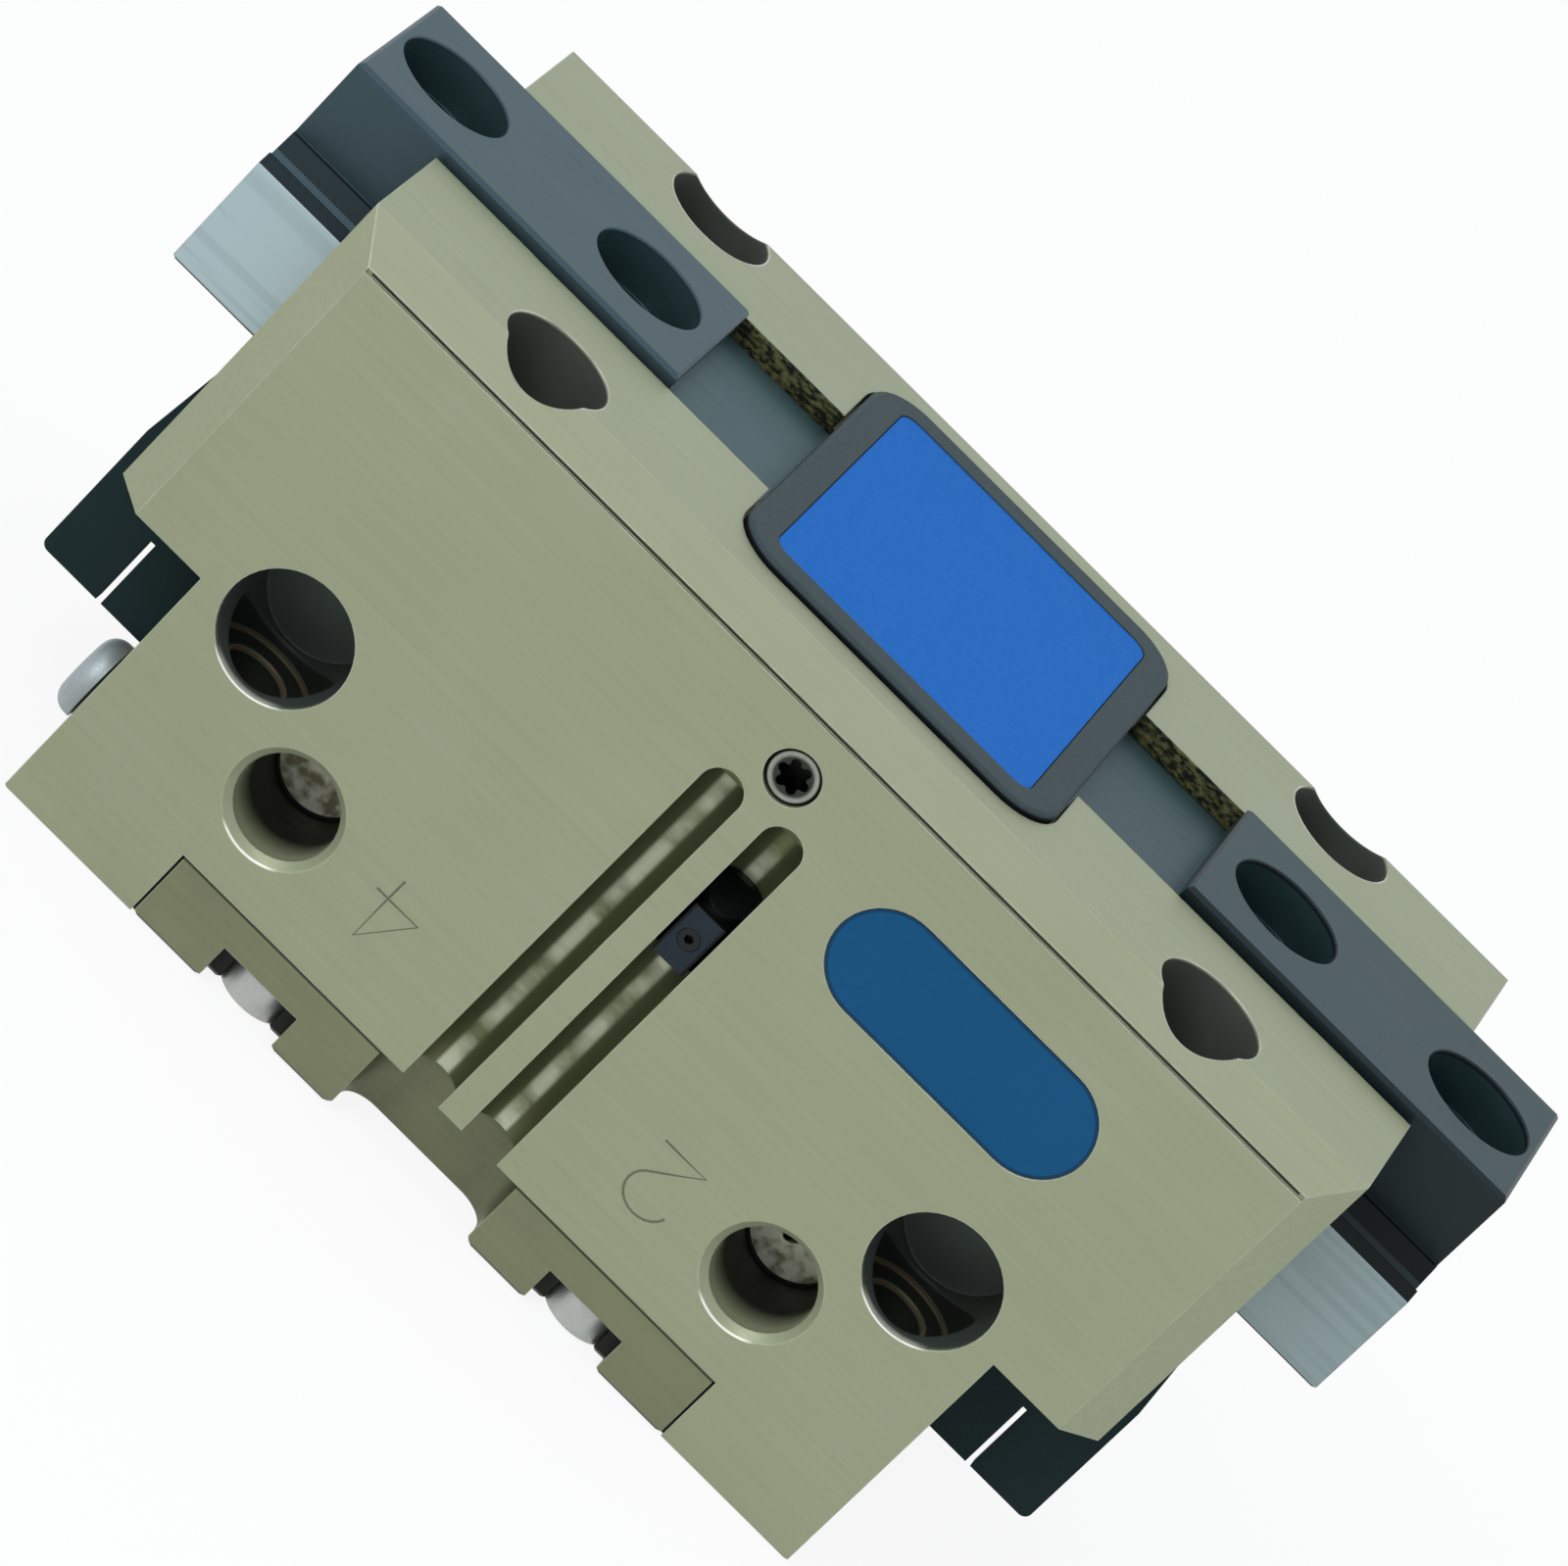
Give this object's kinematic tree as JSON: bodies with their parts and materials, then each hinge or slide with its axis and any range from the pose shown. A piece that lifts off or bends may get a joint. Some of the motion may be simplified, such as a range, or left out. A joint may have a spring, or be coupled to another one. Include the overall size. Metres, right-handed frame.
{
  "type": "parallel gripper",
  "caption": "Parallel pneumatic gripper with toothed sliding base jaws, a wedge-hook piston drive, sensor slots, clamp brackets and front air ports.",
  "frame": {"origin": "middle of the bottom face of the housing", "axes": "+X along the jaw travel to the right seen from the ports, +Z towards the jaws, -Y towards the air ports"},
  "size_m": [0.1472, 0.0666, 0.0672],
  "materials": {
    "anodised_housing": "hard-anodised olive champagne, fine brushed",
    "anodised_cover": "hard-anodised brown olive",
    "seal_rubber": "smooth black",
    "zinc_screw": "zinc plated",
    "cap_plastic": "moulded dark grey",
    "blue_film": "satin printed film",
    "dark_blue_film": "satin printed film",
    "nickel_steel": "nickel plated",
    "black_plastic": "moulded black",
    "black_bracket": "black anodised",
    "hardened_steel": "ground and hardened",
    "rod_steel": "ground and chromed",
    "piston_aluminium": "turned and milled",
    "guide_plastic": "filled plain bearing strip",
    "magnet_metal": "nickel plated magnet",
    "black_steel_screw": "blackened",
    "jaw_steel": "nitrided head and ground guide"
  },
  "bodies": {
    "body": {"housing": "anodised_housing", "bottom_cover": "anodised_cover", "cover_seal": "seal_rubber", "cover_screws": "zinc_screw", "rod_seal": "seal_rubber", "top_cap": "cap_plastic", "cap_label": "blue_film", "cap_screws": "zinc_screw", "type_label": "dark_blue_film", "purge_screw": "nickel_steel", "slot_stop": "black_plastic", "slot_stop_screw": "zinc_screw", "sensor_bracket_right": "black_bracket", "sensor_bracket_left": "black_bracket", "bracket_screws": "zinc_screw", "clamp_screws": "zinc_screw", "side_plug": "nickel_steel", "side_plug_washer": "seal_rubber", "base_port_screws": "zinc_screw"},
    "drive": {"wedge_hook": "hardened_steel", "piston_rod": "rod_steel", "piston": "piston_aluminium", "piston_seal": "seal_rubber", "piston_guide_ring": "guide_plastic", "piston_magnets": "magnet_metal", "piston_screw": "black_steel_screw"},
    "right_jaw": {"jaw_right": "jaw_steel", "control_cam_right": "hardened_steel", "cam_screws_right": "zinc_screw"},
    "left_jaw": {"jaw_left": "jaw_steel", "control_cam_left": "hardened_steel", "cam_screws_left": "zinc_screw"}
  },
  "joints": [
    {"name": "piston_slide", "type": "slide", "parent": "body", "child": "drive", "axis": [0, 0, -1], "range_m": [0, 0.013]},
    {"name": "left_jaw_slide", "type": "slide", "parent": "body", "child": "left_jaw", "axis": [1, 0, 0], "range_m": [0, 0.013]},
    {"name": "right_jaw_slide", "type": "slide", "parent": "body", "child": "right_jaw", "axis": [-1, 0, 0], "range_m": [0, 0.013]}
  ],
  "couplings": [
    {"joint": "left_jaw_slide", "follows": "piston_slide", "ratio": 1},
    {"joint": "right_jaw_slide", "follows": "piston_slide", "ratio": 1}
  ]
}
